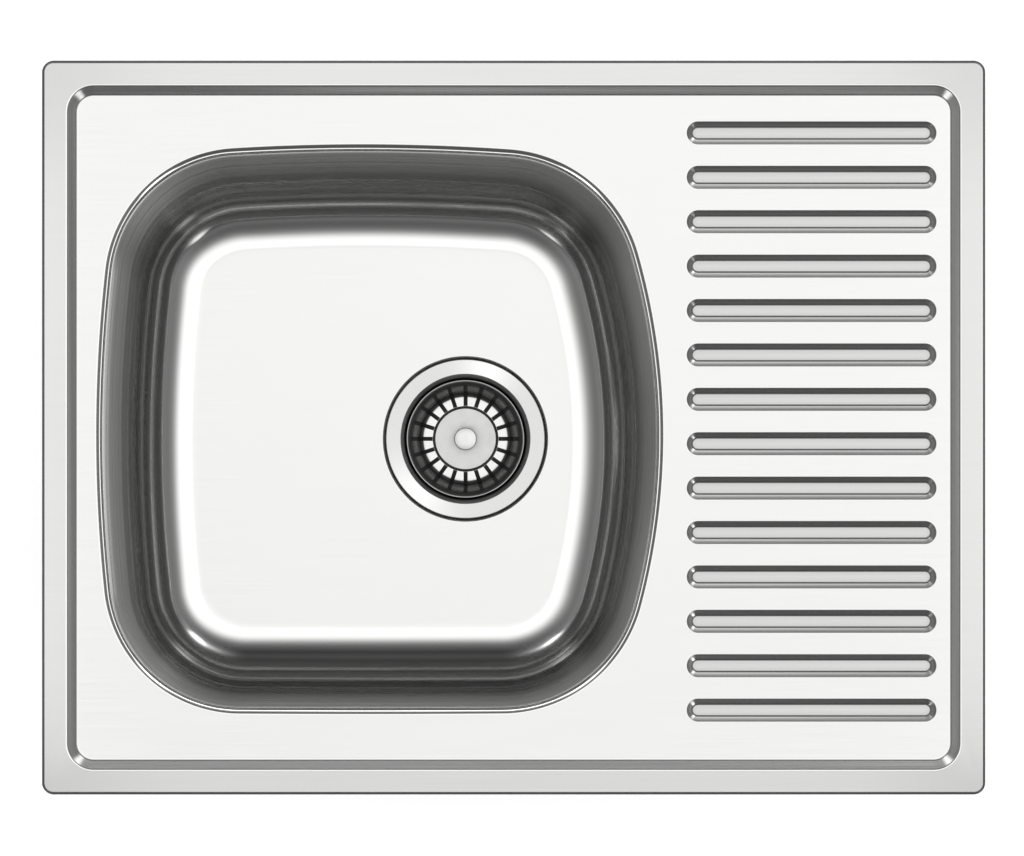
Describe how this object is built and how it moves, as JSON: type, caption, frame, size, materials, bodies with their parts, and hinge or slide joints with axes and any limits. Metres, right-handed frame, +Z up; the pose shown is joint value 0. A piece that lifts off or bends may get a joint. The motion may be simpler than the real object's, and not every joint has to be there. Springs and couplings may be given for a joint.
{
  "type": "kitchen sink",
  "caption": "Inset stainless-steel kitchen sink: a deep bowl, a grooved drainboard, a lift-out basket strainer in its waste, and screw clamps under the rim.",
  "frame": {"origin": "middle of the rim's outline, on the plane of the worktop that the rim rests on", "axes": "+Z up out of the bowl, +X towards the drainboard, +Y towards the back"},
  "size_m": [0.64, 0.498, 0.249],
  "materials": {
    "stainless": "satin, fine grain along the length",
    "waste_steel": "turned, satin",
    "disc_steel": "satin",
    "knob_steel": "polished",
    "screw_steel": "plain",
    "zinc_steel": "bright zinc plated",
    "foam": "closed-cell foam",
    "bitumen": "matt sheet",
    "gasket": "matt",
    "seal_rubber": "smooth",
    "waste_plastic": "moulded",
    "guide_plastic": "moulded",
    "brass": "plain"
  },
  "bodies": {
    "sink": {"sink_body": "stainless", "sealing_strip": "foam", "sound_pad": "bitumen", "rail_right": "zinc_steel", "rail_back": "zinc_steel", "rail_left": "zinc_steel", "rail_front": "zinc_steel", "strainer_flange": "waste_steel", "flange_gasket": "gasket", "waste_gasket": "gasket", "waste_body": "waste_plastic", "thread_insert": "brass", "centre_screw": "screw_steel", "clamp_hook_1": "zinc_steel", "clamp_hook_2": "zinc_steel", "clamp_hook_3": "zinc_steel", "clamp_hook_4": "zinc_steel", "clamp_hook_5": "zinc_steel", "clamp_hook_6": "zinc_steel"},
    "basket": {"basket_strainer": "waste_steel", "basket_disc": "disc_steel", "basket_knob": "knob_steel", "basket_seal": "seal_rubber", "basket_guide": "guide_plastic", "basket_rivet": "screw_steel"},
    "claw_1": {"clamp_claw_1": "zinc_steel"},
    "screw_1": {"clamp_screw_1": "screw_steel"},
    "claw_2": {"clamp_claw_2": "zinc_steel"},
    "screw_2": {"clamp_screw_2": "screw_steel"},
    "claw_3": {"clamp_claw_3": "zinc_steel"},
    "screw_3": {"clamp_screw_3": "screw_steel"},
    "claw_4": {"clamp_claw_4": "zinc_steel"},
    "screw_4": {"clamp_screw_4": "screw_steel"},
    "claw_5": {"clamp_claw_5": "zinc_steel"},
    "screw_5": {"clamp_screw_5": "screw_steel"},
    "claw_6": {"clamp_claw_6": "zinc_steel"},
    "screw_6": {"clamp_screw_6": "screw_steel"}
  },
  "joints": [
    {"name": "basket_lift", "type": "slide", "parent": "sink", "child": "basket", "axis": [0, 0, 1], "range_m": [0, 0.22]},
    {"name": "claw_1_rise", "type": "slide", "parent": "sink", "child": "claw_1", "axis": [0, 0, 1], "range_m": [0, 0.013]},
    {"name": "screw_1_turn", "type": "hinge", "parent": "claw_1", "child": "screw_1", "pos_m": [0.3031, 0, -0.035], "axis": [0, 0, 1], "range_deg": [0, 5850]},
    {"name": "claw_2_rise", "type": "slide", "parent": "sink", "child": "claw_2", "axis": [0, 0, 1], "range_m": [0, 0.013]},
    {"name": "screw_2_turn", "type": "hinge", "parent": "claw_2", "child": "screw_2", "pos_m": [0.17, 0.2321, -0.035], "axis": [0, 0, 1], "range_deg": [0, 5850]},
    {"name": "claw_3_rise", "type": "slide", "parent": "sink", "child": "claw_3", "axis": [0, 0, 1], "range_m": [0, 0.013]},
    {"name": "screw_3_turn", "type": "hinge", "parent": "claw_3", "child": "screw_3", "pos_m": [-0.17, 0.2321, -0.035], "axis": [0, 0, 1], "range_deg": [0, 5850]},
    {"name": "claw_4_rise", "type": "slide", "parent": "sink", "child": "claw_4", "axis": [0, 0, 1], "range_m": [0, 0.013]},
    {"name": "screw_4_turn", "type": "hinge", "parent": "claw_4", "child": "screw_4", "pos_m": [-0.3031, 0, -0.035], "axis": [0, 0, 1], "range_deg": [0, 5850]},
    {"name": "claw_5_rise", "type": "slide", "parent": "sink", "child": "claw_5", "axis": [0, 0, 1], "range_m": [0, 0.013]},
    {"name": "screw_5_turn", "type": "hinge", "parent": "claw_5", "child": "screw_5", "pos_m": [-0.17, -0.2321, -0.035], "axis": [0, 0, 1], "range_deg": [0, 5850]},
    {"name": "claw_6_rise", "type": "slide", "parent": "sink", "child": "claw_6", "axis": [0, 0, 1], "range_m": [0, 0.013]},
    {"name": "screw_6_turn", "type": "hinge", "parent": "claw_6", "child": "screw_6", "pos_m": [0.17, -0.2321, -0.035], "axis": [0, 0, 1], "range_deg": [0, 5850]}
  ],
  "couplings": [
    {"joint": "screw_1_turn", "follows": "claw_1_rise", "rad_per_m": 7854},
    {"joint": "screw_2_turn", "follows": "claw_2_rise", "rad_per_m": 7854},
    {"joint": "screw_3_turn", "follows": "claw_3_rise", "rad_per_m": 7854},
    {"joint": "screw_4_turn", "follows": "claw_4_rise", "rad_per_m": 7854},
    {"joint": "screw_5_turn", "follows": "claw_5_rise", "rad_per_m": 7854},
    {"joint": "screw_6_turn", "follows": "claw_6_rise", "rad_per_m": 7854}
  ]
}
